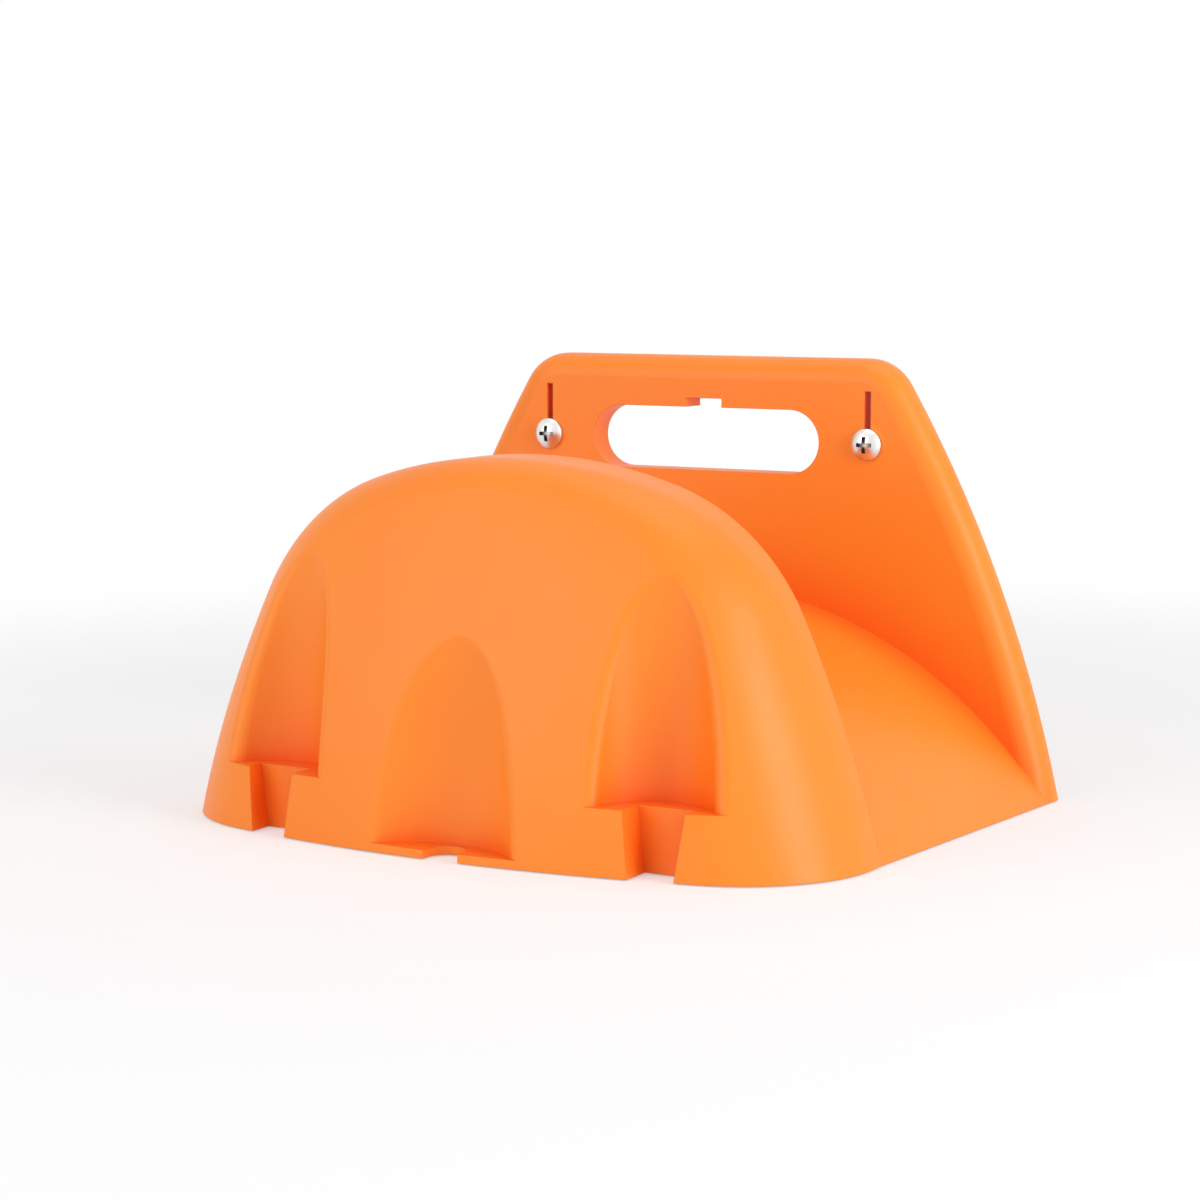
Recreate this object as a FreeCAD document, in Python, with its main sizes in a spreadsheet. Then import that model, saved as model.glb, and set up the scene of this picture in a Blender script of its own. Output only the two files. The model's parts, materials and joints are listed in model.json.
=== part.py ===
import FreeCAD, Part
import math
import os
import Sketcher

# Wall hose hanger, millimetres. The wall is the plane y = 0 and the front looks towards -Y.
# The origin lies on the wall, midway between the two screws.
SIZES = {
    # Moulding
    "wall": 2.8,
    "foot_level": -113.2,
    "trim_margin": 9.0,
    # Back plate
    "plate_depth": 10.0,
    "plate_top": 27.7,
    "plate_top_half": 56.6,
    "plate_corner_radius": 17.2,
    "plate_side_radius": 440.0,
    "plate_foot_half": 124.3,
    "plate_edge_round": 7.5,
    # Handle slot with its small locating notch
    "slot_half_length": 42.6,
    "slot_height": 21.2,
    "slot_notch_width": 13.2,
    "slot_notch_rise": 3.0,
    # Screws, their holes and the slits above them
    "screw_spacing": 120.0,
    "screw_hole_diameter": 5.4,
    "screw_boss_diameter": 13.0,
    "slit_width": 2.2,
    "slit_rise": 17.3,
    "screw_neck_diameter": 4.2,
    "screw_shank_diameter": 4.8,
    "screw_reach": 32.0,
    "screw_tip_length": 5.0,
    "screw_head_diameter": 10.4,
    "screw_head_height": 3.4,
    "screw_head_rim": 1.2,
    "screw_recess_width": 1.3,
    "screw_recess_length": 5.4,
    "screw_recess_depth": 1.9,
    # Shield outline
    "shield_back": 115.8,
    "shield_crest": 1.7,
    "shield_crest_half": 48.5,
    "shield_crest_radius": 155.0,
    "shield_shoulder_radius": 68.9,
    "shield_side_radius": 400.0,
    "shield_foot_half": 114.5,
    "shield_back_round": 4.0,
    # Shield face: a leaning arc turned about a far vertical axis, rolled over at its edge
    "face_foot_reach": 175.6,
    "face_crest_reach": 144.0,
    "face_profile_radius": 285.0,
    "face_plan_radius": 350.0,
    "face_roll_crest": 15.0,
    "face_roll_shoulder": 36.0,
    "face_roll_foot": 43.0,
    # Saddle that carries the coil
    "saddle_top": -48.3,
    "saddle_front_radius": 133.2,
    "saddle_rear_radius": 151.2,
    "rib_offset": 42.0,
    "rib_thickness": 2.2,
    "rib_depth": 16.0,
    # Pockets in the shield's face
    "side_pocket_offset": 66.0,
    "side_pocket_radius": 18.0,
    "side_pocket_back": 150.8,
    "side_ledge_level": -93.7,
    "side_notch_top_width": 18.4,
    "side_notch_foot_width": 13.6,
    "side_notch_back": 159.5,
    "pocket_edge_round": 4.0,
    "middle_pocket_radius": 33.0,
    "middle_pocket_back": 164.2,
    "middle_floor": 2.6,
    "middle_slot_width": 12.0,
    "middle_slot_back": 166.5,
}

FRONT = FreeCAD.Vector(0, -1, 0)
UP = FreeCAD.Vector(0, 0, 1)
FLUSH = 1e-4
# Largest roll, as a share of the depth from the sharp edge to the back round
ROLL_SHARE = 1.2
# Largest pocket edge round, as a share of the bore's radius less twice what the bore closes in
EDGE_SHARE = 0.28
UPRIGHT = FreeCAD.Rotation(FreeCAD.Vector(1, 0, 0), 90)
SIDEWAYS = FreeCAD.Rotation(FreeCAD.Vector(1, 1, 1), 120)

doc = FreeCAD.newDocument("hose_hanger")
sheet = doc.addObject("Spreadsheet::Sheet", "sizes")
for row, (alias, number) in enumerate(SIZES.items(), start=1):
    sheet.set("A%d" % row, alias)
    sheet.set("B%d" % row, str(number))
    sheet.setAlias("B%d" % row, alias)
doc.recompute()


def size(alias):
    return float(sheet.get(alias))


def bind(feature, **formulas):
    """Ties properties to sheet formulas, with a double underscore for each dot."""
    for name, formula in formulas.items():
        feature.setExpression(name.replace("__", "."), formula)
    return feature


def new_sketch(name, rotation):
    sketch = doc.addObject("Sketcher::SketchObject", name)
    sketch.Placement = FreeCAD.Placement(FreeCAD.Vector(), rotation)
    return sketch


def flat(x, y):
    return FreeCAD.Vector(x, y, 0)


def arc(centre, radius, start_deg, end_deg):
    circle = Part.Circle(flat(*centre), UP, radius)
    return Part.ArcOfCircle(circle, math.radians(start_deg), math.radians(end_deg))


def constrain(sketch, kind, *places):
    return sketch.addConstraint(Sketcher.Constraint(kind, *places))


def measure(sketch, kind, *places, formula):
    """Adds a measured constraint and ties it to a sheet formula."""
    index = sketch.addConstraint(Sketcher.Constraint(kind, *places))
    sketch.setExpression("Constraints[%d]" % index, formula)


# Places on sketch geometry
ORIGIN, VERTICAL_AXIS = range(-1, -3, -1)
HORIZONTAL_AXIS = ORIGIN
START, END, CENTRE = range(1, 4)


def side_centre(shoulder_centre, shoulder, foot_place, side):
    """Centre of a side arc that runs on from a shoulder arc and passes through the foot."""
    down = foot_place - shoulder_centre
    gap = side - shoulder
    along = (gap ** 2 - side ** 2 + down.Length ** 2) / (2 * down.Length)
    inward = math.sqrt(gap ** 2 - along ** 2)
    step = flat(along * down.x + inward * down.y, along * down.y - inward * down.x)
    return shoulder_centre + step / down.Length


def hump_outline(name, crest, crest_half, shoulder, side, foot_half, crest_radius=None):
    """A closed hump: flat or arched crest, rounded shoulders and bowed sides, run on below the foot."""
    top, reach = size(crest), size(crest_half)
    round_radius, bow, foot = size(shoulder), size(side), size("foot_level")
    base = foot - size("trim_margin")
    lean = math.asin(reach / size(crest_radius)) if crest_radius else 0.0
    centre = flat(reach - round_radius * math.sin(lean), top - round_radius)
    if crest_radius:
        centre.y = top - size(crest_radius) + (size(crest_radius) - round_radius) * math.cos(lean)
    foot_place = flat(size(foot_half), foot)
    bow_centre = side_centre(centre, round_radius, foot_place, bow)
    joint = math.degrees(math.atan2(centre.y - bow_centre.y, centre.x - bow_centre.x))
    low = math.degrees(math.asin((base - bow_centre.y) / bow))
    high = 90 - math.degrees(lean)
    base_half = bow_centre.x + bow * math.cos(math.radians(low))
    sketch = new_sketch(name, UPRIGHT)
    if crest_radius:
        crown = arc((0, top - size(crest_radius)), size(crest_radius), high, 180 - high)
    else:
        crown = Part.LineSegment(flat(reach, top), flat(-reach, top))
    sketch.addGeometry([
        crown,
        arc((centre.x, centre.y), round_radius, joint, high),
        arc((bow_centre.x, bow_centre.y), bow, low, joint),
        arc((-centre.x, centre.y), round_radius, 180 - high, 180 - joint),
        arc((-bow_centre.x, bow_centre.y), bow, 180 - joint, 180 - low),
        Part.LineSegment(flat(-base_half, base), flat(base_half, base)),
        Part.Point(foot_place),
    ])
    crown, right_shoulder, right_side, left_shoulder, left_side, floor, foot_point = range(7)
    sketch.toggleConstruction(foot_point)
    constrain(sketch, "Tangent", crown, START, right_shoulder, END)
    constrain(sketch, "Tangent", right_shoulder, START, right_side, END)
    constrain(sketch, "Tangent", crown, END, left_shoulder, START)
    constrain(sketch, "Tangent", left_shoulder, END, left_side, START)
    constrain(sketch, "Coincident", left_side, END, floor, START)
    constrain(sketch, "Coincident", floor, END, right_side, START)
    constrain(sketch, "Symmetric", crown, START, crown, END, VERTICAL_AXIS)
    constrain(sketch, "Symmetric", floor, START, floor, END, VERTICAL_AXIS)
    constrain(sketch, "Equal", right_shoulder, left_shoulder)
    constrain(sketch, "Equal", right_side, left_side)
    constrain(sketch, "PointOnObject", foot_point, START, right_side)
    measure(sketch, "DistanceX", ORIGIN, START, foot_point, START, size(foot_half),
            formula="sizes." + foot_half)
    measure(sketch, "DistanceY", ORIGIN, START, foot_point, START, foot, formula="sizes.foot_level")
    measure(sketch, "DistanceY", ORIGIN, START, floor, START, base,
            formula="sizes.foot_level - sizes.trim_margin")
    measure(sketch, "DistanceX", ORIGIN, START, crown, START, reach, formula="sizes." + crest_half)
    measure(sketch, "Radius", right_shoulder, round_radius, formula="sizes." + shoulder)
    measure(sketch, "Radius", right_side, bow, formula="sizes." + side)
    if crest_radius:
        measure(sketch, "Radius", crown, size(crest_radius), formula="sizes." + crest_radius)
        measure(sketch, "DistanceY", ORIGIN, START, crown, CENTRE, top - size(crest_radius),
                formula="sizes.%s - sizes.%s" % (crest, crest_radius))
    else:
        measure(sketch, "DistanceY", ORIGIN, START, crown, START, top, formula="sizes." + crest)
    return sketch


def arch_outline(name, radius, inset="0"):
    """A circular segment under the saddle's arch, run on below the foot."""
    top, full = size("saddle_top"), size(radius)
    base = size("foot_level") - size("trim_margin")
    half = math.sqrt(full ** 2 - (base - top + full) ** 2)
    edge = math.degrees(math.asin(half / full))
    sketch = new_sketch(name, UPRIGHT)
    sketch.addGeometry([
        arc((0, top - full), full, 90 - edge, 90 + edge),
        Part.LineSegment(flat(-half, base), flat(half, base)),
    ])
    bow, floor = range(2)
    constrain(sketch, "Coincident", bow, END, floor, START)
    constrain(sketch, "Coincident", floor, END, bow, START)
    constrain(sketch, "Horizontal", floor)
    constrain(sketch, "PointOnObject", bow, CENTRE, VERTICAL_AXIS)
    measure(sketch, "DistanceY", ORIGIN, START, bow, CENTRE, top - full,
            formula="sizes.saddle_top - sizes.%s" % radius)
    measure(sketch, "DistanceY", ORIGIN, START, floor, START, base,
            formula="sizes.foot_level - sizes.trim_margin")
    measure(sketch, "Radius", bow, full, formula="sizes.%s - %s" % (radius, inset))
    return sketch


def face_profile():
    """The shield's side profile: a leaning arc in front and straight margins behind it."""
    foot, crest = size("foot_level"), size("shield_crest")
    margin, radius = size("trim_margin"), size("face_profile_radius")
    foot_y, crest_y = -size("face_foot_reach"), -size("face_crest_reach")
    back_y = -size("shield_back") + margin
    span = math.hypot(crest_y - foot_y, crest - foot)
    lean = math.atan2(crest_y - foot_y, crest - foot)
    sag = math.sqrt(radius ** 2 - span ** 2 / 4)
    centre_y = (foot_y + crest_y) / 2 + sag * math.cos(lean)
    centre_z = (foot + crest) / 2 - sag * math.sin(lean)
    top_z, base_z = crest + margin, foot - margin

    def front_y(z):
        return centre_y - math.sqrt(radius ** 2 - (z - centre_z) ** 2)

    def bearing(z):
        return math.degrees(math.atan2(z - centre_z, front_y(z) - centre_y)) % 360

    sketch = new_sketch("face_profile", SIDEWAYS)
    sketch.addGeometry([
        arc((centre_y, centre_z), radius, bearing(top_z), bearing(base_z)),
        Part.LineSegment(flat(front_y(base_z), base_z), flat(back_y, base_z)),
        Part.LineSegment(flat(back_y, base_z), flat(back_y, top_z)),
        Part.LineSegment(flat(back_y, top_z), flat(front_y(top_z), top_z)),
        Part.Point(flat(foot_y, foot)),
        Part.Point(flat(crest_y, crest)),
    ])
    front, base, back, top, foot_point, crest_point = range(6)
    sketch.toggleConstruction(foot_point)
    sketch.toggleConstruction(crest_point)
    constrain(sketch, "Coincident", front, END, base, START)
    constrain(sketch, "Coincident", base, END, back, START)
    constrain(sketch, "Coincident", back, END, top, START)
    constrain(sketch, "Coincident", top, END, front, START)
    constrain(sketch, "Horizontal", base)
    constrain(sketch, "Vertical", back)
    constrain(sketch, "Horizontal", top)
    constrain(sketch, "PointOnObject", foot_point, START, front)
    constrain(sketch, "PointOnObject", crest_point, START, front)
    measure(sketch, "Radius", front, radius, formula="sizes.face_profile_radius")
    measure(sketch, "DistanceX", ORIGIN, START, foot_point, START, foot_y, formula="-sizes.face_foot_reach")
    measure(sketch, "DistanceY", ORIGIN, START, foot_point, START, foot, formula="sizes.foot_level")
    measure(sketch, "DistanceX", ORIGIN, START, crest_point, START, crest_y,
            formula="-sizes.face_crest_reach")
    measure(sketch, "DistanceY", ORIGIN, START, crest_point, START, crest, formula="sizes.shield_crest")
    measure(sketch, "DistanceX", ORIGIN, START, back, START, back_y,
            formula="sizes.trim_margin - sizes.shield_back")
    measure(sketch, "DistanceY", ORIGIN, START, base, START, base_z,
            formula="sizes.foot_level - sizes.trim_margin")
    measure(sketch, "DistanceY", ORIGIN, START, top, START, top_z,
            formula="sizes.shield_crest + sizes.trim_margin")
    return sketch


def inset_outline(name, source, formula):
    """A flat outline moved in (negative) or out (positive) from its source."""
    outline = doc.addObject("Part::Offset2D", name)
    outline.Source = source
    return bind(outline, Value=formula)


def extrude(name, source, start, length):
    """Extrudes an upright outline forwards from a distance in front of the wall."""
    block = doc.addObject("Part::Extrusion", name)
    block.Base = source
    block.DirMode = "Custom"
    block.Dir = FRONT
    block.Solid = True
    return bind(block, LengthFwd=length, Placement__Base__y="-(%s)" % start)


def turn_face(name, source):
    """Turns the side profile about the far axis that bows the face in plan."""
    turned = doc.addObject("Part::Revolution", name)
    turned.Source = source
    turned.Axis = UP
    turned.Solid = True
    turned.Symmetric = True
    bind(turned, Base__y="sizes.face_plan_radius - sizes.face_foot_reach")
    return bind(turned, Angle="4 * asin(sizes.shield_foot_half / sizes.face_plan_radius)")


def loft(name, front, rear):
    skin = doc.addObject("Part::Loft", name)
    skin.Sections = [front, rear]
    skin.Solid = True
    skin.Ruled = True
    return skin


def combine(kind, name, shapes):
    joined = doc.addObject("Part::" + kind, name)
    joined.Shapes = shapes
    return joined


def cut(name, base, tool):
    result = doc.addObject("Part::Cut", name)
    result.Base = base
    result.Tool = tool
    return result


def cylinder(name, radius, height, axis=UP, **place):
    post = doc.addObject("Part::Cylinder", name)
    post.Placement = FreeCAD.Placement(FreeCAD.Vector(), FreeCAD.Rotation(UP, axis))
    bind(post, Radius=radius, Height=height)
    return bind(post, **{"Placement__Base__" + key: formula for key, formula in place.items()})


def box(name, length, width, height, **place):
    block = doc.addObject("Part::Box", name)
    bind(block, Length=length, Width=width, Height=height)
    return bind(block, **{"Placement__Base__" + key: formula for key, formula in place.items()})


def rounded(name, base, radii):
    """Rounds numbered edges of a base, each with a first and a last radius."""
    result = doc.addObject("Part::Fillet", name)
    result.Base = base
    result.Edges = radii
    return result


def lies_at(edge, level):
    """True where an edge lies in an upright plane, in front of the wall by a level."""
    return all(abs(vertex.Y + level) < FLUSH for vertex in edge.Vertexes)


def lowest(edge):
    return min(vertex.Z for vertex in edge.Vertexes)


def clears_foot(edge):
    return max(vertex.Z for vertex in edge.Vertexes) > size("foot_level")


def leaves_middle(edge):
    return max(vertex.X for vertex in edge.Vertexes) > FLUSH


def roll_shield(name, half, inset):
    """Rolls the face over to the outline, tighter at the crest, and rounds the back edge."""
    doc.recompute()
    back, back_round = size("shield_back") + inset, size("shield_back_round") - inset
    seams = [edge for edge in half.Shape.Edges if clears_foot(edge) and leaves_middle(edge)]
    face_edges = [edge for edge in seams if max(vertex.Y for vertex in edge.Vertexes) < -back - FLUSH]
    shoulder = max(vertex.Z for vertex in min(face_edges, key=lowest).Vertexes)
    levels = [(size("shield_crest"), size("face_roll_crest")), (shoulder, size("face_roll_shoulder")),
              (size("foot_level"), size("face_roll_foot"))]

    def roll(point):
        """The roll's radius at a point, as far as the depth behind the point allows it."""
        upper, lower = levels[:2] if point.z > shoulder else levels[1:]
        share = (upper[0] - point.z) / (upper[0] - lower[0])
        radius = upper[1] + (lower[1] - upper[1]) * share
        return min(radius, ROLL_SHARE * (-point.y - back - back_round) + inset) - inset

    # The rolled edges are one chain, so their radii all follow the way that its lowest edge runs
    numbers = sorted(range(len(half.Shape.Edges)), key=lambda index: lowest(half.Shape.Edges[index]))
    chain = [index for index in numbers if any(half.Shape.Edges[index].isSame(edge) for edge in face_edges)]
    start, end = half.Shape.Edges[chain[0]].Vertexes
    falling = start.Z > end.Z
    radii = []
    for index in chain:
        ends = sorted(half.Shape.Edges[index].Vertexes, key=lambda vertex: vertex.Z, reverse=falling)
        radii.append((index + 1, *(roll(vertex.Point) for vertex in ends)))
    for index in numbers:
        edge = half.Shape.Edges[index]
        if lies_at(edge, back) and any(edge.isSame(seam) for seam in seams):
            radii.append((index + 1, back_round, back_round))
    return rounded(name, half, radii)


def soften_pockets(name, base):
    """Rounds the edges where the upright pockets leave the shield's face, as far as their bores allow it."""
    doc.recompute()
    rims, limits = [], {}
    for number, edge in enumerate(base.Shape.Edges, start=1):
        surfaces = [face.Surface for face in base.Shape.ancestorsOfType(edge, Part.Face)]
        bores = [surface for surface in surfaces
                 if isinstance(surface, Part.Cylinder) and surface.Axis.isParallel(UP, FLUSH)]
        if len(bores) == 1 and not any(isinstance(surface, Part.Plane) for surface in surfaces):
            radius, axis = bores[0].Radius, bores[0].Center.y
            closing = axis - min(vertex.Y for vertex in edge.Vertexes)
            limit = EDGE_SHARE * (radius - 2 * closing)
            limits[radius] = min(limit, limits.get(radius, size("pocket_edge_round")))
            rims.append((number, radius))
    return rounded(name, base, [(number, limits[radius], limits[radius])
                                for number, radius in rims if limits[radius] > 0])


def shield_form(prefix, outline, profile, inset, inset_formula):
    """The rolled hump of the shield, or its hollow where an inset is given."""
    depth = "sizes.face_foot_reach - sizes.shield_back + sizes.trim_margin"
    half = combine("MultiCommon", prefix + "_half", [
        extrude(prefix + "_prism", outline, "sizes.shield_back + " + inset_formula, depth),
        turn_face(prefix + "_face", profile),
        box(prefix + "_right_side", "2 * sizes.shield_foot_half", "2 * sizes.face_foot_reach",
            "4 * sizes.shield_foot_half", y="-2 * sizes.face_foot_reach", z="-3 * sizes.shield_foot_half"),
    ])
    rolled = roll_shield(prefix + "_rolled", half, inset)
    return combine("MultiFuse", prefix + "_form", [rolled, mirrored(prefix + "_twin", rolled)])


def plate_form(prefix, outline, inset, start, length):
    """The back plate with its rounded front edge, or its hollow where an inset is given."""
    block = extrude(prefix + "_block", outline, start, length)
    doc.recompute()
    front, edge_round = size("plate_depth") - inset, size("plate_edge_round") - inset
    radii = [(number, edge_round, edge_round)
             for number, edge in enumerate(block.Shape.Edges, start=1)
             if lies_at(edge, front) and clears_foot(edge)]
    return rounded(prefix + "_form", block, radii)


def saddle_form(prefix, front, rear, inset):
    """The arched saddle between shield and plate, or its hollow where an inset is given."""
    front_arch = arch_outline(prefix + "_front_arch", "saddle_front_radius", inset)
    rear_arch = arch_outline(prefix + "_rear_arch", "saddle_rear_radius", inset)
    bind(front_arch, Placement__Base__y="-(%s)" % front)
    bind(rear_arch, Placement__Base__y="-(%s)" % rear)
    return loft(prefix + "_form", front_arch, rear_arch)


def slot_outline():
    """The long handle slot with round ends."""
    end_radius, reach = size("slot_height") / 2, size("slot_half_length")
    straight = reach - end_radius
    sketch = new_sketch("slot_outline", UPRIGHT)
    sketch.addGeometry([
        arc((straight, 0), end_radius, -90, 90),
        Part.LineSegment(flat(straight, end_radius), flat(-straight, end_radius)),
        arc((-straight, 0), end_radius, 90, 270),
        Part.LineSegment(flat(-straight, -end_radius), flat(straight, -end_radius)),
    ])
    right, top, left, bottom = range(4)
    for before, after in ((right, top), (top, left), (left, bottom), (bottom, right)):
        constrain(sketch, "Tangent", before, END, after, START)
    constrain(sketch, "Symmetric", right, CENTRE, left, CENTRE, ORIGIN, START)
    constrain(sketch, "Horizontal", top)
    measure(sketch, "Radius", right, end_radius, formula="sizes.slot_height / 2")
    measure(sketch, "DistanceX", ORIGIN, START, right, CENTRE, straight,
            formula="sizes.slot_half_length - sizes.slot_height / 2")
    return sketch


def notch_outline():
    """The tapered notch below the right pocket's ledge."""
    ledge, foot, middle = size("side_ledge_level"), size("foot_level"), size("side_pocket_offset")
    wide, narrow = size("side_notch_top_width") / 2, size("side_notch_foot_width") / 2
    corners = [(middle + wide, ledge), (middle - wide, ledge),
               (middle - narrow, foot), (middle + narrow, foot)]
    sketch = new_sketch("notch_outline", UPRIGHT)
    for before, after in zip(corners, corners[1:] + corners[:1]):
        sketch.addGeometry(Part.LineSegment(flat(*before), flat(*after)))
    top, left, bottom, right = range(4)
    for before, after in ((top, left), (left, bottom), (bottom, right), (right, top)):
        constrain(sketch, "Coincident", before, END, after, START)
    constrain(sketch, "Horizontal", top)
    constrain(sketch, "Horizontal", bottom)
    constrain(sketch, "Equal", left, right)
    measure(sketch, "DistanceY", ORIGIN, START, top, START, ledge, formula="sizes.side_ledge_level")
    measure(sketch, "DistanceY", ORIGIN, START, bottom, START, foot, formula="sizes.foot_level")
    measure(sketch, "DistanceX", ORIGIN, START, top, START, middle + wide,
            formula="sizes.side_pocket_offset + sizes.side_notch_top_width / 2")
    measure(sketch, "DistanceX", ORIGIN, START, top, END, middle - wide,
            formula="sizes.side_pocket_offset - sizes.side_notch_top_width / 2")
    measure(sketch, "DistanceX", bottom, START, bottom, END, 2 * narrow,
            formula="sizes.side_notch_foot_width")
    return sketch


def rectangle(sketch, wide, tall):
    """A rectangle centred on the sketch's origin."""
    half_x, half_y = size(wide) / 2, size(tall) / 2
    corners = [(-half_x, -half_y), (half_x, -half_y), (half_x, half_y), (-half_x, half_y)]
    for before, after in zip(corners, corners[1:] + corners[:1]):
        sketch.addGeometry(Part.LineSegment(flat(*before), flat(*after)))
    for number in range(4):
        constrain(sketch, "Coincident", number, END, (number + 1) % 4, START)
    bottom, right, top, left = range(4)
    constrain(sketch, "Horizontal", bottom)
    constrain(sketch, "Horizontal", top)
    constrain(sketch, "Vertical", right)
    constrain(sketch, "Vertical", left)
    constrain(sketch, "Symmetric", bottom, START, top, START, ORIGIN, START)
    measure(sketch, "DistanceX", bottom, START, bottom, END, 2 * half_x, formula="sizes." + wide)
    measure(sketch, "DistanceY", right, START, right, END, 2 * half_y, formula="sizes." + tall)


def mirrored(name, source):
    twin = doc.addObject("Part::Mirroring", name)
    twin.Source = source
    twin.Normal = FreeCAD.Vector(1, 0, 0)
    return twin


def side_pocket(name, grow):
    """The right pocket, grown by a wall for the hollow behind it."""
    return cylinder(name, "sizes.side_pocket_radius + " + grow,
                    "sizes.shield_crest + sizes.trim_margin - sizes.side_ledge_level + " + grow,
                    x="sizes.side_pocket_offset",
                    y="-(sizes.side_pocket_back + sizes.side_pocket_radius)",
                    z="sizes.side_ledge_level - " + grow)


def notch_channel(name, notch, grow):
    """The notch below the right pocket, grown by a wall for the hollow behind it."""
    return extrude(name, notch, "sizes.side_notch_back - " + grow,
                   "sizes.face_foot_reach - sizes.side_notch_back + sizes.trim_margin")


def middle_pocket(name, grow, floor):
    return cylinder(name, "sizes.middle_pocket_radius + " + grow,
                    "sizes.shield_crest + sizes.trim_margin - (%s)" % floor,
                    y="-(sizes.middle_pocket_back + sizes.middle_pocket_radius)", z=floor)


def paired(name, make):
    """One solid on the right and its twin on the left."""
    right = make("right_" + name)
    return [right, mirrored("left_" + name, right)]


# Outer form
plate_outline = hump_outline("plate_outline", "plate_top", "plate_top_half", "plate_corner_radius",
                             "plate_side_radius", "plate_foot_half")
shield_outline = hump_outline("shield_outline", "shield_crest", "shield_crest_half",
                              "shield_shoulder_radius", "shield_side_radius", "shield_foot_half",
                              "shield_crest_radius")
profile = face_profile()
shield = shield_form("shield", shield_outline, profile, 0.0, "0")
pockets = combine("MultiFuse", "pockets", [
    *paired("pocket", lambda name: side_pocket(name, "0")),
    middle_pocket("middle_pocket", "0", "sizes.foot_level + sizes.middle_floor"),
])
pocketed_shield = soften_pockets("pocketed_shield", cut("sharp_shield", shield, pockets))
plate = plate_form("plate", plate_outline, 0.0, "0", "sizes.plate_depth")
saddle = saddle_form("saddle", "sizes.shield_back + sizes.shield_back_round",
                     "sizes.plate_depth - sizes.plate_edge_round", "0")
outer = combine("MultiFuse", "outer_form", [pocketed_shield, saddle, plate])

# Hollow, one wall inside the outer form and open behind and below
shield_inset = inset_outline("shield_inset", shield_outline, "-sizes.wall")
profile_inset = inset_outline("profile_inset", profile, "-sizes.wall")
plate_inset = inset_outline("plate_inset", plate_outline, "-sizes.wall")
shield_hollow = shield_form("shield_hollow", shield_inset, profile_inset, size("wall"), "sizes.wall")
plate_hollow = plate_form("plate_hollow", plate_inset, size("wall"), "-sizes.trim_margin",
                          "sizes.plate_depth - sizes.wall + sizes.trim_margin")
saddle_hollow = saddle_form("saddle_hollow", "sizes.shield_back + 2 * sizes.wall", "-sizes.trim_margin",
                            "sizes.wall")
hollow = combine("MultiFuse", "hollow_form", [shield_hollow, saddle_hollow, plate_hollow])

# What stands inside the hollow: walls round the openings, screw bosses and ribs
slot = slot_outline()
notch = notch_outline()
notch_grown = inset_outline("notch_grown", notch, "sizes.wall")
inner_walls = combine("MultiFuse", "inner_walls", [
    *paired("pocket_wall", lambda name: side_pocket(name, "sizes.wall")),
    *paired("notch_wall", lambda name: notch_channel(name, notch_grown, "sizes.wall")),
    middle_pocket("middle_wall", "sizes.wall", "sizes.foot_level - sizes.trim_margin"),
    extrude("slot_wall", inset_outline("slot_grown", slot, "sizes.wall"), "0", "sizes.plate_depth"),
    box("slot_notch_wall", "sizes.slot_notch_width + 2 * sizes.wall", "sizes.plate_depth",
        "sizes.slot_height / 2 + sizes.slot_notch_rise + sizes.wall",
        x="-sizes.slot_notch_width / 2 - sizes.wall", y="-sizes.plate_depth"),
    *paired("boss", lambda name: cylinder(
        name, "sizes.screw_boss_diameter / 2", "sizes.plate_depth", FRONT, x="sizes.screw_spacing / 2")),
    *paired("slit_wall", lambda name: box(
        name, "sizes.slit_width + 2 * sizes.wall", "sizes.plate_depth", "sizes.slit_rise + sizes.wall",
        x="sizes.screw_spacing / 2 - sizes.slit_width / 2 - sizes.wall", y="-sizes.plate_depth")),
    *paired("rib", lambda name: box(
        name, "sizes.rib_thickness", "sizes.shield_back - sizes.plate_depth + 2 * sizes.wall",
        "sizes.wall + sizes.rib_depth", x="sizes.rib_offset", y="-sizes.shield_back - sizes.wall",
        z="sizes.saddle_top - sizes.wall - sizes.rib_depth")),
])
core = cut("core", hollow, inner_walls)

# Openings
openings = combine("MultiFuse", "openings", [
    *paired("notch", lambda name: notch_channel(name, notch, "0")),
    cylinder("middle_slot_end", "sizes.middle_slot_width / 2", "2 * sizes.trim_margin",
             y="-(sizes.middle_slot_back + sizes.middle_slot_width / 2)",
             z="sizes.foot_level - sizes.trim_margin"),
    box("middle_slot_mouth", "sizes.middle_slot_width", "sizes.face_foot_reach", "2 * sizes.trim_margin",
        x="-sizes.middle_slot_width / 2",
        y="-(sizes.middle_slot_back + sizes.middle_slot_width / 2 + sizes.face_foot_reach)",
        z="sizes.foot_level - sizes.trim_margin"),
    extrude("handle_slot", slot, "-sizes.trim_margin", "sizes.plate_depth + 2 * sizes.trim_margin"),
    box("slot_notch", "sizes.slot_notch_width", "sizes.plate_depth + 2 * sizes.trim_margin",
        "sizes.slot_height / 2 + sizes.slot_notch_rise",
        x="-sizes.slot_notch_width / 2", y="-sizes.plate_depth - sizes.trim_margin"),
    *paired("screw_hole", lambda name: cylinder(
        name, "sizes.screw_hole_diameter / 2", "sizes.plate_depth + 2 * sizes.trim_margin", FRONT,
        x="sizes.screw_spacing / 2", y="sizes.trim_margin")),
    *paired("slit", lambda name: box(
        name, "sizes.slit_width", "sizes.plate_depth + 2 * sizes.trim_margin", "sizes.slit_rise",
        x="sizes.screw_spacing / 2 - sizes.slit_width / 2",
        y="-sizes.plate_depth - sizes.trim_margin")),
])
below_foot = box("below_foot", "4 * sizes.plate_foot_half", "2 * sizes.face_foot_reach",
                 "2 * sizes.trim_margin", x="-2 * sizes.plate_foot_half",
                 y="-1.5 * sizes.face_foot_reach", z="sizes.foot_level - 2 * sizes.trim_margin")
moulding = cut("moulding", outer, core)
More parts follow.
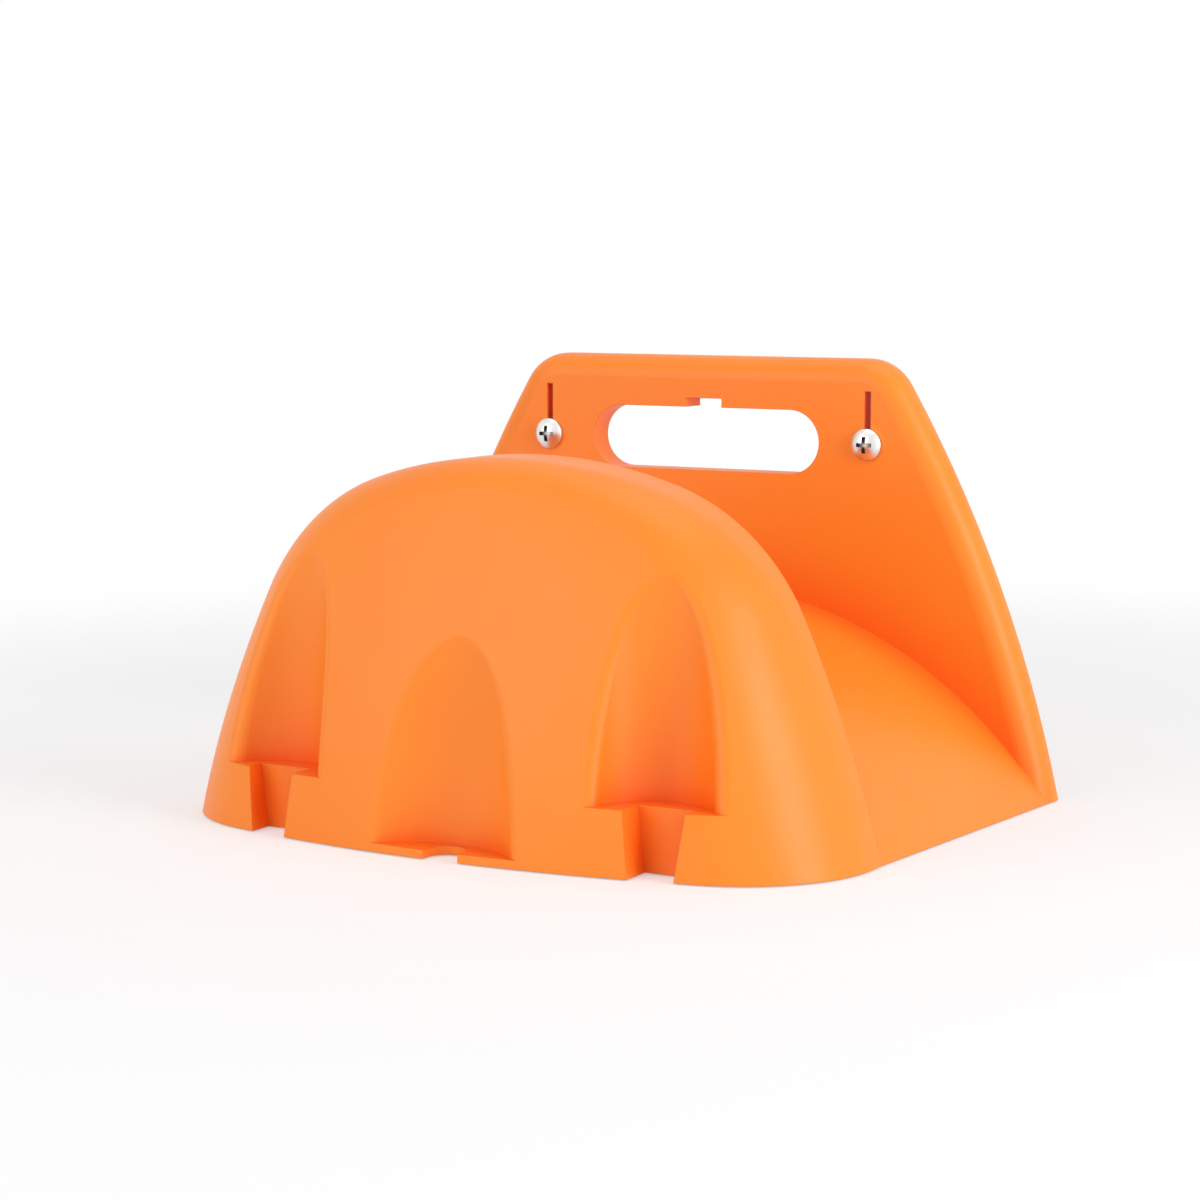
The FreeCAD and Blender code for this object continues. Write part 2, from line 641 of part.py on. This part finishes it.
hanger = cut("hanger", cut("pierced_moulding", moulding, openings), below_foot)
hanger.Label = "hanger_body"


def screw_body():
    """One pan-head wood screw, its axis along Y and its head on the plate's front face."""
    body = doc.addObject("PartDesign::Body", "screw")
    planes = {plane.Role: plane for plane in body.Origin.OriginFeatures}
    shank, head = size("screw_shank_diameter") / 2, size("screw_head_diameter") / 2
    neck = size("screw_neck_diameter") / 2
    seat, rim = -size("plate_depth"), -size("plate_depth") - size("screw_head_rim")
    crown = -size("plate_depth") - size("screw_head_height")
    tip, taper = size("screw_reach"), size("screw_reach") - size("screw_tip_length")
    sag = rim - crown
    dome = (head ** 2 + sag ** 2) / (2 * sag)
    profile = body.newObject("Sketcher::SketchObject", "screw_profile")
    profile.AttachmentSupport = (planes["XY_Plane"], [""])
    profile.MapMode = "FlatFace"
    corners = [(0, crown), (0, tip), (shank, taper), (shank, 0),
               (neck, 0), (neck, seat), (head, seat), (head, rim)]
    for before, after in zip(corners, corners[1:]):
        profile.addGeometry(Part.LineSegment(flat(*before), flat(*after)))
    half_turn = math.degrees(math.asin(head / dome))
    profile.addGeometry(arc((0, crown + dome), dome, 270, 270 + half_turn))
    axis, cone, side, step, plain, collar, edge, cap = range(8)
    for before, after in zip(range(axis, edge), range(cone, cap)):
        constrain(profile, "Coincident", before, END, after, START)
    constrain(profile, "Coincident", edge, END, cap, END)
    constrain(profile, "Coincident", cap, START, axis, START)
    constrain(profile, "PointOnObject", axis, START, VERTICAL_AXIS)
    constrain(profile, "Vertical", axis)
    constrain(profile, "Vertical", side)
    constrain(profile, "Horizontal", step)
    constrain(profile, "Vertical", plain)
    constrain(profile, "Horizontal", collar)
    constrain(profile, "Vertical", edge)
    constrain(profile, "PointOnObject", cap, CENTRE, VERTICAL_AXIS)
    measure(profile, "DistanceY", ORIGIN, START, axis, START, crown,
            formula="-sizes.plate_depth - sizes.screw_head_height")
    measure(profile, "DistanceY", ORIGIN, START, axis, END, tip, formula="sizes.screw_reach")
    measure(profile, "DistanceY", ORIGIN, START, cone, END, taper,
            formula="sizes.screw_reach - sizes.screw_tip_length")
    measure(profile, "DistanceX", ORIGIN, START, cone, END, shank, formula="sizes.screw_shank_diameter / 2")
    constrain(profile, "PointOnObject", side, END, HORIZONTAL_AXIS)
    measure(profile, "DistanceX", ORIGIN, START, step, END, neck, formula="sizes.screw_neck_diameter / 2")
    measure(profile, "DistanceY", ORIGIN, START, plain, END, seat, formula="-sizes.plate_depth")
    measure(profile, "DistanceX", ORIGIN, START, edge, START, head, formula="sizes.screw_head_diameter / 2")
    measure(profile, "DistanceY", ORIGIN, START, edge, END, rim,
            formula="-sizes.plate_depth - sizes.screw_head_rim")
    turned = body.newObject("PartDesign::Revolution", "screw_turned")
    turned.Profile = profile
    turned.ReferenceAxis = (profile, ["V_Axis"])
    turned.Angle = 360
    doc.recompute()
    recesses = (("recess_across", "length", "width"), ("recess_down", "width", "length"))
    for name, long_side, short_side in recesses:
        cross = body.newObject("Sketcher::SketchObject", name)
        cross.AttachmentSupport = (planes["XZ_Plane"], [""])
        cross.MapMode = "FlatFace"
        cross.setExpression("AttachmentOffset.Base.z", "sizes.plate_depth + sizes.screw_head_height")
        rectangle(cross, "screw_recess_" + long_side, "screw_recess_" + short_side)
        pocket = body.newObject("PartDesign::Pocket", name + "_pocket")
        pocket.Profile = cross
        bind(pocket, Length="sizes.screw_recess_depth")
        doc.recompute()
    return bind(body, Placement__Base__x="sizes.screw_spacing / 2")


right_screw = screw_body()
screws = doc.addObject("Part::Compound", "screws")
screws.Links = [right_screw, mirrored("left_screw", right_screw)]
screws.Label = "wall_screws"
doc.recompute()

# Every feature is checked before anything is written
for feature in doc.Objects:
    if "Invalid" in feature.State or "Error" in feature.State:
        raise RuntimeError("%s failed: %s" % (feature.Name, feature.State))
os.makedirs("parts", exist_ok=True)
for node in (hanger, screws):
    if node.Shape.isNull() or not node.Shape.isValid():
        raise RuntimeError("%s has no sound shape" % node.Label)
    node.Shape.exportStep("parts/%s.step" % node.Label)
    print(node.Label, len(node.Shape.Solids), "solids", round(node.Shape.Volume), "mm3")
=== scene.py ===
import json
import math

import bmesh
import bpy
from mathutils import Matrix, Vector


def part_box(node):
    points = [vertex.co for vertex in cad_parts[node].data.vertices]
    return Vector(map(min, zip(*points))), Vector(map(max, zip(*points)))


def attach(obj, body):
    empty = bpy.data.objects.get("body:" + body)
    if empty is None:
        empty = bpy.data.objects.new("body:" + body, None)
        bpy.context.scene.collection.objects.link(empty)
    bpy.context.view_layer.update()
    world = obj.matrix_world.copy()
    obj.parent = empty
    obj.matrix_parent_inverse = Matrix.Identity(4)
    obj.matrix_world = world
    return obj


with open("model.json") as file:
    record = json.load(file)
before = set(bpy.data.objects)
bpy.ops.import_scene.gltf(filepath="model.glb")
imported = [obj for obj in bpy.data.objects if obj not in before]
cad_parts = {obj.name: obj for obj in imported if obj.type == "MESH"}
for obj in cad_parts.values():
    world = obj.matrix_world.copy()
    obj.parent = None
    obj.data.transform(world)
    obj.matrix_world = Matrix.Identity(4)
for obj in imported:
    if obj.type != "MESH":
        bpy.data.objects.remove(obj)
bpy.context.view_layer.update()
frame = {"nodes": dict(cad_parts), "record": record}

# Places taken from the frame, in metres
BODY_LOW, BODY_HIGH = (Vector(corner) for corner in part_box("hanger_body"))
SCREW_TIP = Vector(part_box("wall_screws")[1])
STUDS = frame["record"]["mounts"][0]
STUD_HALF_SPACING = STUDS["dims"]["spacing_x_mm"] / 2000
STUD_RADIUS = STUDS["dims"]["stud_r_mm"] / 1000

# Camera: the photograph's standpoint, aimed at the middle of the moulding
CAMERA_PLACE = Vector((0.4334, -0.8472, 0.0627))
CAMERA_AIM = Vector((0.004, -0.088, -0.046))
CAMERA_LENS_MM = 84.0
CAMERA_SENSOR_MM = 36.0
CAMERA_REACH = 50.0

# Colours, linear
ORANGE = (0.95, 0.250, 0.019, 1.0)
ORANGE_DEEP = (0.94, 0.235, 0.016, 1.0)
ORANGE_PALE = (0.96, 0.265, 0.024, 1.0)
# Painted shade: the deeper orange mixed into the moulding's hollows
ORANGE_SHADE_PAINT = (0.93, 0.120, 0.006, 1.0)
ZINC = (0.74, 0.73, 0.70, 1.0)
ZINC_BRIGHT = (0.86, 0.86, 0.85, 1.0)
# Painted shade: the near-black mixed into the screws' hollows, such as the cross recess
ZINC_SHADE_PAINT = (0.10, 0.10, 0.11, 1.0)
PAPER_WHITE = (0.94, 0.94, 0.94, 1.0)
WHITE = (1.0, 1.0, 1.0, 1.0)

# Plastic: marks by their number per metre, bumps by strength and depth
FLOW_SCALE = 11.0
FLOW_STOPS = ((0.30, ORANGE_DEEP), (0.52, ORANGE), (0.75, ORANGE_PALE))
GLOSS_SCALE = 60.0
PLASTIC_ROUGHNESS = (0.34, 0.46)
WAVE_SCALE = 55.0
WAVE_BUMP = (0.10, 0.0006)
GRAIN_SCALE = 2600.0
GRAIN_BUMP = (0.16, 0.00012)
EDGE_EASE = 0.0005
EDGE_SAMPLES = 4
PLASTIC_IOR = 1.49
PLASTIC_SPECULAR = 0.36

# Zinc, in the same terms
PATCH_SCALE = 420.0
PATCH_STOPS = ((0.35, ZINC), (0.68, ZINC_BRIGHT))
ZINC_ROUGHNESS = (0.42, 0.22)
MARK_SCALE = 3200.0
MARK_BUMP = (0.25, 0.00006)

# Painted shade in hollows: colour, reach, openness at which it is full, and samples
PLASTIC_PAINTED_SHADE = (ORANGE_SHADE_PAINT, 0.024, 0.30, 4)
ZINC_PAINTED_SHADE = (ZINC_SHADE_PAINT, 0.0016, 0.45, 8)

# Screw thread: lengths in metres, half widths as shares of the pitch, run-out as a share of its length
THREAD_PITCH = 0.0020
THREAD_RISE = 0.00035
THREAD_SINK = 0.0002
THREAD_FOOT_HALF = 0.32
THREAD_CREST_HALF = 0.06
THREAD_START = 0.0015
THREAD_END_GAP = 0.0052
THREAD_RUN_OUT = 1 / 12
THREAD_STEPS_PER_TURN = 28

# Floor
FLOOR_GAP = 0.0004
FLOOR_SIZE = 12.0
FLOOR_ROUGHNESS = 0.9
FLOOR_FADE_START = 0.26
FLOOR_FADE_END = 0.62
FLOOR_GLOW_NEAR = 0.4

# Light: the world as a source and as seen, and lamps by place, size and watts
WORLD_LIGHT = 0.55
WORLD_SEEN = 1.0
LAMPS = {
    "front_left_light": ((-0.62, -1.25, 0.42), (0.9, 0.9), 5.2),
    "right_light": ((1.15, -0.30, 0.28), (0.5, 0.9), 8.0),
    "top_light": ((0.1, -0.05, 1.3), (1.0, 1.0), 4.0),
}


def new_material(name):
    material = bpy.data.materials.new(name)
    material.use_nodes = True
    tree = material.node_tree
    return material, tree, tree.nodes["Principled BSDF"]


def add_node(tree, kind, inputs=None, **settings):
    node = tree.nodes.new(kind)
    for key, value in settings.items():
        setattr(node, key, value)
    for key, value in (inputs or {}).items():
        node.inputs[key].default_value = value
    return node


def add_object_place(tree):
    return add_node(tree, "ShaderNodeTexCoord").outputs["Object"]


def add_noise(tree, place, scale, detail, roughness=0.5):
    noise = add_node(tree, "ShaderNodeTexNoise",
                     {"Scale": scale, "Detail": detail, "Roughness": roughness})
    tree.links.new(place, noise.inputs["Vector"])
    return noise.outputs["Fac"]


def add_ramp(tree, source, stops):
    ramp = add_node(tree, "ShaderNodeValToRGB")
    elements = ramp.color_ramp.elements
    while len(elements) < len(stops):
        elements.new(0.5)
    for element, (position, colour) in zip(elements, stops):
        element.position = position
        element.color = colour
    tree.links.new(source, ramp.inputs["Fac"])
    return ramp.outputs["Color"]


def add_range(tree, source, low, high):
    spread = add_node(tree, "ShaderNodeMapRange", {"To Min": low, "To Max": high})
    tree.links.new(source, spread.inputs["Value"])
    return spread.outputs["Result"]


def add_bump(tree, height, strength, depth, normal=None):
    bump = add_node(tree, "ShaderNodeBump", {"Strength": strength, "Distance": depth})
    tree.links.new(height, bump.inputs["Height"])
    if normal is not None:
        tree.links.new(normal, bump.inputs["Normal"])
    return bump.outputs["Normal"]


def add_painted_hollow_shade(tree, colour, shade_colour, reach, darkest, samples):
    """Mixes a deeper colour, as painted shade, into places that are hemmed in within a reach."""
    shelter = add_node(tree, "ShaderNodeAmbientOcclusion", {"Distance": reach},
                       samples=samples, only_local=True)
    spread = add_node(tree, "ShaderNodeMapRange",
                      {"From Min": darkest, "From Max": 1.0, "To Min": 1.0, "To Max": 0.0})
    tree.links.new(shelter.outputs["AO"], spread.inputs["Value"])
    mix = add_node(tree, "ShaderNodeMix", data_type="RGBA")
    tree.links.new(spread.outputs["Result"], mix.inputs["Factor"])
    tree.links.new(colour, mix.inputs["A"])
    mix.inputs["B"].default_value = shade_colour
    return mix.outputs["Result"]


def moulded_plastic():
    """Satin orange polypropylene: soft flow marks, painted shade in hollows, fine moulded grain and
    eased edges.
    """
    material, tree, shader = new_material("orange_plastic")
    place = add_object_place(tree)
    flow = add_noise(tree, place, FLOW_SCALE, detail=2.0)
    # Painted shade: hollows and pockets get a deeper orange mixed into the flow colour
    colour = add_painted_hollow_shade(tree, add_ramp(tree, flow, FLOW_STOPS), *PLASTIC_PAINTED_SHADE)
    tree.links.new(colour, shader.inputs["Base Color"])
    gloss = add_noise(tree, place, GLOSS_SCALE, detail=5.0)
    tree.links.new(add_range(tree, gloss, *PLASTIC_ROUGHNESS), shader.inputs["Roughness"])
    eased = add_node(tree, "ShaderNodeBevel", {"Radius": EDGE_EASE}, samples=EDGE_SAMPLES)
    waves = add_noise(tree, place, WAVE_SCALE, detail=1.0)
    grain = add_noise(tree, place, GRAIN_SCALE, detail=2.0)
    normal = add_bump(tree, waves, *WAVE_BUMP, eased.outputs["Normal"])
    normal = add_bump(tree, grain, *GRAIN_BUMP, normal)
    tree.links.new(normal, shader.inputs["Normal"])
    shader.inputs["IOR"].default_value = PLASTIC_IOR
    shader.inputs["Specular IOR Level"].default_value = PLASTIC_SPECULAR
    return material


def zinc_plate():
    """Zinc-plated steel with fine marks, small dull patches and painted shade in hollows."""
    material, tree, shader = new_material("zinc_screw")
    place = add_object_place(tree)
    patches = add_noise(tree, place, PATCH_SCALE, detail=5.0, roughness=0.6)
    # Painted shade: the cross recess and other hollows get a near-black mixed in
    colour = add_painted_hollow_shade(tree, add_ramp(tree, patches, PATCH_STOPS), *ZINC_PAINTED_SHADE)
    tree.links.new(colour, shader.inputs["Base Color"])
    tree.links.new(add_range(tree, patches, *ZINC_ROUGHNESS), shader.inputs["Roughness"])
    marks = add_noise(tree, place, MARK_SCALE, detail=3.0)
    tree.links.new(add_bump(tree, marks, *MARK_BUMP), shader.inputs["Normal"])
    shader.inputs["Metallic"].default_value = 1.0
    return material


def camera_or_mirror(tree):
    """One for rays seen directly, in a reflection or through glass, and nought for light rays."""
    path = add_node(tree, "ShaderNodeLightPath")
    total = path.outputs["Is Camera Ray"]
    for other in ("Is Glossy Ray", "Is Transmission Ray"):
        either = add_node(tree, "ShaderNodeMath", operation="MAXIMUM")
        tree.links.new(total, either.inputs[0])
        tree.links.new(path.outputs[other], either.inputs[1])
        total = either.outputs["Value"]
    return total


def studio_floor_material():
    """White paper that keeps a shadow near the object and runs into the white ground further off."""
    material, tree, shader = new_material("floor_white")
    shader.inputs["Base Color"].default_value = PAPER_WHITE
    shader.inputs["Roughness"].default_value = FLOOR_ROUGHNESS
    distance = add_node(tree, "ShaderNodeVectorMath", operation="LENGTH")
    tree.links.new(add_object_place(tree), distance.inputs[0])
    fade_range = {"From Min": FLOOR_FADE_START, "From Max": FLOOR_FADE_END, "To Min": FLOOR_GLOW_NEAR}
    fade = add_node(tree, "ShaderNodeMapRange", fade_range, interpolation_type="SMOOTHSTEP")
    tree.links.new(distance.outputs["Value"], fade.inputs["Value"])
    share = add_node(tree, "ShaderNodeMath", operation="MULTIPLY")
    tree.links.new(fade.outputs["Result"], share.inputs[0])
    tree.links.new(camera_or_mirror(tree), share.inputs[1])
    glow = add_node(tree, "ShaderNodeEmission", {"Color": WHITE, "Strength": 1.0})
    mix = add_node(tree, "ShaderNodeMixShader")
    tree.links.new(share.outputs["Value"], mix.inputs["Fac"])
    tree.links.new(shader.outputs["BSDF"], mix.inputs[1])
    tree.links.new(glow.outputs["Emission"], mix.inputs[2])
    tree.links.new(mix.outputs["Shader"], tree.nodes["Material Output"].inputs["Surface"])
    return material


def dress(node, material):
    slots = frame["nodes"][node].data.materials
    slots.clear()
    slots.append(material)


def add_object(name, data):
    thing = bpy.data.objects.new(name, data)
    bpy.context.collection.objects.link(thing)
    return thing


def look_from(thing, place, aim):
    thing.location = place
    thing.rotation_euler = (aim - Vector(place)).to_track_quat("-Z", "Y").to_euler()


def screw_thread(name, x, material):
    """A rolled thread ridge wound round one screw's shank, behind the plate."""
    length = SCREW_TIP.y - THREAD_END_GAP - THREAD_START
    turns = length / THREAD_PITCH
    count = int(turns * THREAD_STEPS_PER_TURN)
    mesh = bmesh.new()
    rings = []
    for step in range(count + 1):
        share = step / count
        angle = 2 * math.pi * turns * share
        y = THREAD_START + length * share
        rise = THREAD_RISE * min(1.0, share / THREAD_RUN_OUT, (1 - share) / THREAD_RUN_OUT)
        outward = Vector((math.cos(angle), 0, math.sin(angle)))
        section = (
            (-THREAD_FOOT_HALF, -THREAD_SINK),
            (-THREAD_CREST_HALF, rise),
            (THREAD_CREST_HALF, rise),
            (THREAD_FOOT_HALF, -THREAD_SINK),
        )
        rings.append([
            mesh.verts.new(Vector((x, y + part * THREAD_PITCH, 0)) + outward * (STUD_RADIUS + lift))
            for part, lift in section
        ])
    for before, after in zip(rings, rings[1:]):
        for corner in range(len(before)):
            following = (corner + 1) % len(before)
            mesh.faces.new((before[corner], before[following], after[following], after[corner]))
    mesh.faces.new(rings[0])
    mesh.faces.new(reversed(rings[-1]))
    bmesh.ops.recalc_face_normals(mesh, faces=mesh.faces)
    data = bpy.data.meshes.new(name)
    mesh.to_mesh(data)
    mesh.free()
    data.materials.append(material)
    piece = add_object(name, data)
    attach(piece, "root")


def studio_floor():
    """A flat white floor just under the foot of the moulding."""
    half = FLOOR_SIZE / 2
    data = bpy.data.meshes.new("studio_floor")
    corners = [(-half, -half, 0), (half, -half, 0), (half, half, 0), (-half, half, 0)]
    data.from_pydata(corners, [], [(0, 1, 2, 3)])
    data.materials.append(studio_floor_material())
    floor = add_object("studio_floor", data)
    floor.location.z = BODY_LOW.z - FLOOR_GAP


def studio_light():
    """White ground, soft lamps at the front left and on the right, and a weaker one above."""
    world = bpy.data.worlds.new("studio_world")
    world.use_nodes = True
    bpy.context.scene.world = world
    tree = world.node_tree
    ground = tree.nodes["Background"]
    ground.inputs["Color"].default_value = WHITE
    strength = add_range(tree, camera_or_mirror(tree), WORLD_LIGHT, WORLD_SEEN)
    tree.links.new(strength, ground.inputs["Strength"])
    for name, (place, size, watts) in LAMPS.items():
        light = bpy.data.lights.new(name, "AREA")
        light.shape = "RECTANGLE"
        light.size, light.size_y = size
        light.energy = watts
        look_from(add_object(name, light), place, (BODY_LOW + BODY_HIGH) / 2)


def camera():
    data = bpy.data.cameras.new("camera")
    data.sensor_width = CAMERA_SENSOR_MM
    data.lens = CAMERA_LENS_MM
    data.clip_end = CAMERA_REACH
    eye = add_object("camera", data)
    look_from(eye, CAMERA_PLACE, CAMERA_AIM)
    bpy.context.scene.camera = eye


bpy.context.scene.view_settings.view_transform = "Standard"
zinc = zinc_plate()
dress("hanger_body", moulded_plastic())
dress("wall_screws", zinc)
for side, sign in (("right", 1), ("left", -1)):
    screw_thread(side + "_screw_thread", sign * STUD_HALF_SPACING, zinc)
studio_floor()
studio_light()
camera()
